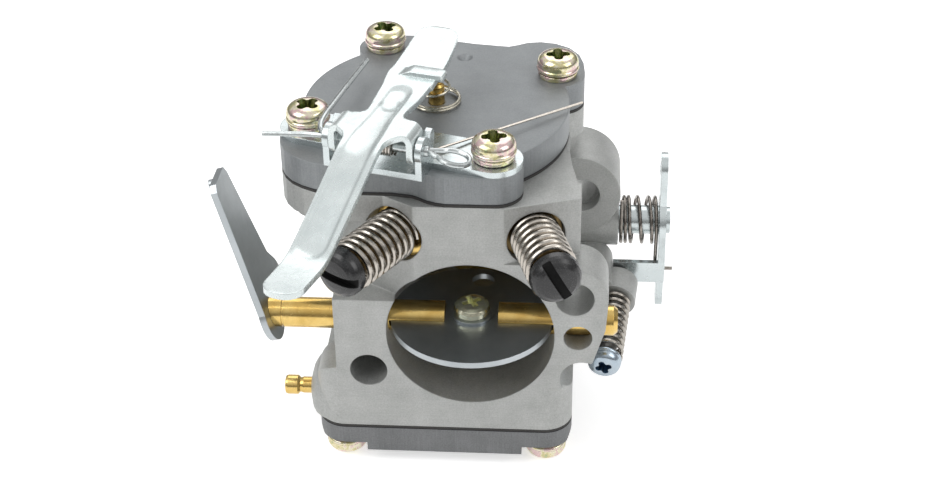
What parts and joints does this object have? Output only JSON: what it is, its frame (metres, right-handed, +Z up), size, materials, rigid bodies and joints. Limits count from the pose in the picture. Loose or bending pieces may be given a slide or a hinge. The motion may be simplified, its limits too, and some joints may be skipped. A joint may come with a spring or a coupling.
{
  "type": "carburetor",
  "caption": "Diaphragm carburetor for a chainsaw or cut-off saw, with choke and throttle levers, mixture and idle screws, and a hand-worked primer lever.",
  "frame": {"origin": "centre of the choke bore and of the two bolt holes, on the front (air filter) flange face", "axes": "+X to the throttle lever side, +Y along the air flow to the engine flange, +Z up to the metering cover"},
  "size_m": [0.0884, 0.0941, 0.0766],
  "materials": {
    "cast_body": "sand-blasted die casting, matt",
    "cast_cover": "die casting, satin",
    "bright_zinc": "bright zinc plate",
    "yellow_zinc": "yellow chromated zinc plate",
    "blue_zinc": "blue chromated zinc plate",
    "brass": "turned brass, slightly aged",
    "spring_wire": "drawn spring wire",
    "dark_steel": "phosphated spring steel",
    "cap_plastic": "moulded plastic, fine grain",
    "gasket": "gasket paper, matt",
    "diaphragm": "rubber-coated fabric"
  },
  "bodies": {
    "housing": {"body": "cast_body", "metering_cover": "cast_cover", "metering_gasket": "gasket", "metering_diaphragm": "diaphragm", "cover_screws": "yellow_zinc", "cover_lock_washers": "yellow_zinc", "pump_cover": "cast_body", "pump_gasket": "gasket", "pump_diaphragm": "diaphragm", "pump_screws": "yellow_zinc", "pump_lock_washers": "yellow_zinc", "throttle_return_spring": "spring_wire", "idle_spring": "spring_wire", "high_needle_spring": "spring_wire", "high_needle_washer": "brass", "low_needle_spring": "spring_wire", "low_needle_washer": "brass", "fuel_inlet": "brass", "inlet_screen": "bright_zinc", "inlet_seat": "brass", "fulcrum_pin": "bright_zinc", "fulcrum_screw": "bright_zinc", "metering_spring": "spring_wire", "main_nozzle": "brass", "welch_plugs": "bright_zinc", "channel_plug": "bright_zinc", "primer_spring": "spring_wire", "lever_bracket": "bright_zinc", "pivot_pin": "bright_zinc", "lever_torsion_spring": "spring_wire"},
    "choke": {"choke_shaft": "brass", "choke_plate": "bright_zinc", "choke_plate_screw": "yellow_zinc", "choke_screw_washer": "bright_zinc", "choke_lever": "bright_zinc"},
    "throttle": {"throttle_shaft": "bright_zinc", "throttle_plate": "brass", "throttle_plate_screw": "yellow_zinc", "throttle_lever": "bright_zinc", "throttle_shaft_clip": "dark_steel"},
    "hand_lever": {"primer_lever": "bright_zinc"},
    "tickler": {"primer_pin": "brass"},
    "high_mixture": {"high_needle": "brass", "high_needle_cap": "cap_plastic"},
    "low_mixture": {"low_needle": "brass", "low_needle_cap": "cap_plastic"},
    "idle_adjuster": {"idle_screw": "blue_zinc"},
    "metering_arm": {"metering_lever": "bright_zinc"},
    "inlet_valve": {"inlet_needle": "dark_steel"}
  },
  "joints": [
    {"name": "choke_turn", "type": "hinge", "parent": "housing", "child": "choke", "pos_m": [0, 0.0062, 0], "axis": [1, 0, 0], "range_deg": [0, 90]},
    {"name": "throttle_turn", "type": "hinge", "parent": "housing", "child": "throttle", "pos_m": [0, 0.0424, 0], "axis": [1, 0, 0], "range_deg": [0, 75], "stiffness_Nm_per_rad": 0.03, "springref_deg": -34.38, "deforming": ["throttle_return_spring"]},
    {"name": "lever_swing", "type": "hinge", "parent": "housing", "child": "hand_lever", "pos_m": [-0.0165, 0.0031, 0.0395], "axis": [-0.9636, 0.2672, 0], "range_deg": [0, 3.5], "stiffness_Nm_per_rad": 0.1, "springref_deg": -2.86, "deforming": ["primer_spring", "lever_torsion_spring"]},
    {"name": "tickler_slide", "type": "slide", "parent": "housing", "child": "tickler", "axis": [0, 0, -1], "range_m": [0, 0.0017]},
    {"name": "high_needle_turn", "type": "hinge", "parent": "housing", "child": "high_mixture", "pos_m": [0.0122, 0.0018, 0.021], "axis": [0.2924, -0.9563, 0], "range_deg": [-360, 540]},
    {"name": "low_needle_turn", "type": "hinge", "parent": "housing", "child": "low_mixture", "pos_m": [-0.0137, 0.00225, 0.021], "axis": [-0.5299, -0.848, 0], "range_deg": [-360, 540]},
    {"name": "idle_screw_turn", "type": "hinge", "parent": "housing", "child": "idle_adjuster", "pos_m": [0.0284, 0.0358, -0.0088], "axis": [-0.11, -0.9782, -0.176], "range_deg": [-720, 720]},
    {"name": "metering_arm_rock", "type": "hinge", "parent": "housing", "child": "metering_arm", "pos_m": [-0.01588, 0.03069, 0.0266], "axis": [0.2924, 0.9563, 0], "range_deg": [0, 4], "deforming": ["metering_spring"]},
    {"name": "inlet_needle_slide", "type": "slide", "parent": "housing", "child": "inlet_valve", "axis": [0, 0, 1], "range_m": [0, 0.000314], "stiffness_N_per_m": 20, "springref_m": -0.001}
  ],
  "couplings": [
    {"joint": "tickler_slide", "follows": "lever_swing", "m_per_rad": 0.0265},
    {"joint": "metering_arm_rock", "follows": "inlet_needle_slide", "rad_per_m": 222.2}
  ]
}
